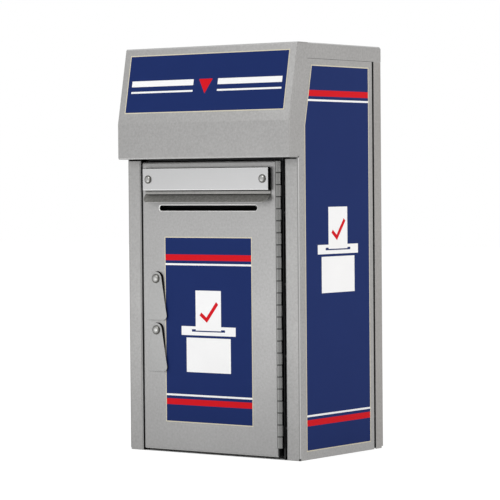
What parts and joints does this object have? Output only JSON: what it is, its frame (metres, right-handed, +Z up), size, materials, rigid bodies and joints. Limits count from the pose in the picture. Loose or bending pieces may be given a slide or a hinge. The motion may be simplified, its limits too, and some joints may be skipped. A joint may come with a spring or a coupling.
{
  "type": "ballot box",
  "caption": "Sheet-steel ballot box with a sloped hood, a hinged locking door, a ballot slot under a drip hood, and swinging covers over its key locks",
  "frame": {"origin": "middle of the footprint, on the surface the box stands on", "axes": "+Z up, -Y out of the door side, +Y towards the wall side, +X towards the hinge side"},
  "size_m": [0.4623, 0.35, 0.883],
  "materials": {
    "stainless_sheet": "fine-grained matte stainless sheet",
    "bright_bar": "lighter, smoother satin stainless",
    "bright_fasteners": "plain stainless",
    "lock_metal": "plated",
    "seal_rubber": "closed-cell foam",
    "sign_vinyl": "blue printed vinyl with a thin cream edge"
  },
  "bodies": {
    "cabinet": {"left_side_panel": "stainless_sheet", "right_side_panel": "stainless_sheet", "roof_hood": "stainless_sheet", "back_panel": "stainless_sheet", "floor_panel": "stainless_sheet", "hinge_jamb": "stainless_sheet", "frame_hinge_leaf": "stainless_sheet", "frame_hinge_screws": "bright_fasteners", "hinge_pin": "bright_fasteners", "door_seal": "seal_rubber", "groove_seals": "seal_rubber", "hood_sign": "sign_vinyl", "side_sign": "sign_vinyl"},
    "door": {"door_panel": "stainless_sheet", "door_stiffener": "stainless_sheet", "door_hinge_leaf": "stainless_sheet", "door_hinge_screws": "bright_fasteners", "slot_bar": "bright_bar", "drip_hood": "stainless_sheet", "bar_bolts": "bright_fasteners", "bar_spacers": "bright_fasteners", "bar_nuts": "bright_fasteners", "slot_baffle": "stainless_sheet", "slot_chute": "stainless_sheet", "door_sign": "sign_vinyl", "upper_lock_body": "lock_metal", "lower_lock_body": "lock_metal", "upper_lock_nut": "lock_metal", "lower_lock_nut": "lock_metal", "upper_cover_pivot": "bright_fasteners", "lower_cover_pivot": "bright_fasteners"},
    "upper_cover": {"upper_lock_cover": "stainless_sheet"},
    "lower_cover": {"lower_lock_cover": "stainless_sheet"},
    "upper_lock": {"upper_lock_plug": "lock_metal", "upper_lock_cam": "lock_metal", "upper_cam_screw": "lock_metal"},
    "lower_lock": {"lower_lock_plug": "lock_metal", "lower_lock_cam": "lock_metal", "lower_cam_screw": "lock_metal"}
  },
  "joints": [
    {"name": "door_swing", "type": "hinge", "parent": "cabinet", "child": "door", "pos_m": [0.181, -0.146, 0.317], "axis": [0, 0, 1], "range_deg": [0, 110]},
    {"name": "upper_cover_swing", "type": "hinge", "parent": "door", "child": "upper_cover", "pos_m": [-0.1505, -0.1447, 0.379], "axis": [0, 1, 0], "range_deg": [-75, 75]},
    {"name": "lower_cover_swing", "type": "hinge", "parent": "door", "child": "lower_cover", "pos_m": [-0.1505, -0.1447, 0.2665], "axis": [0, 1, 0], "range_deg": [-75, 75]},
    {"name": "upper_lock_turn", "type": "hinge", "parent": "door", "child": "upper_lock", "pos_m": [-0.1505, -0.132, 0.324], "axis": [0, 1, 0], "range_deg": [0, 90]},
    {"name": "lower_lock_turn", "type": "hinge", "parent": "door", "child": "lower_lock", "pos_m": [-0.1505, -0.132, 0.2115], "axis": [0, 1, 0], "range_deg": [0, 90]}
  ]
}
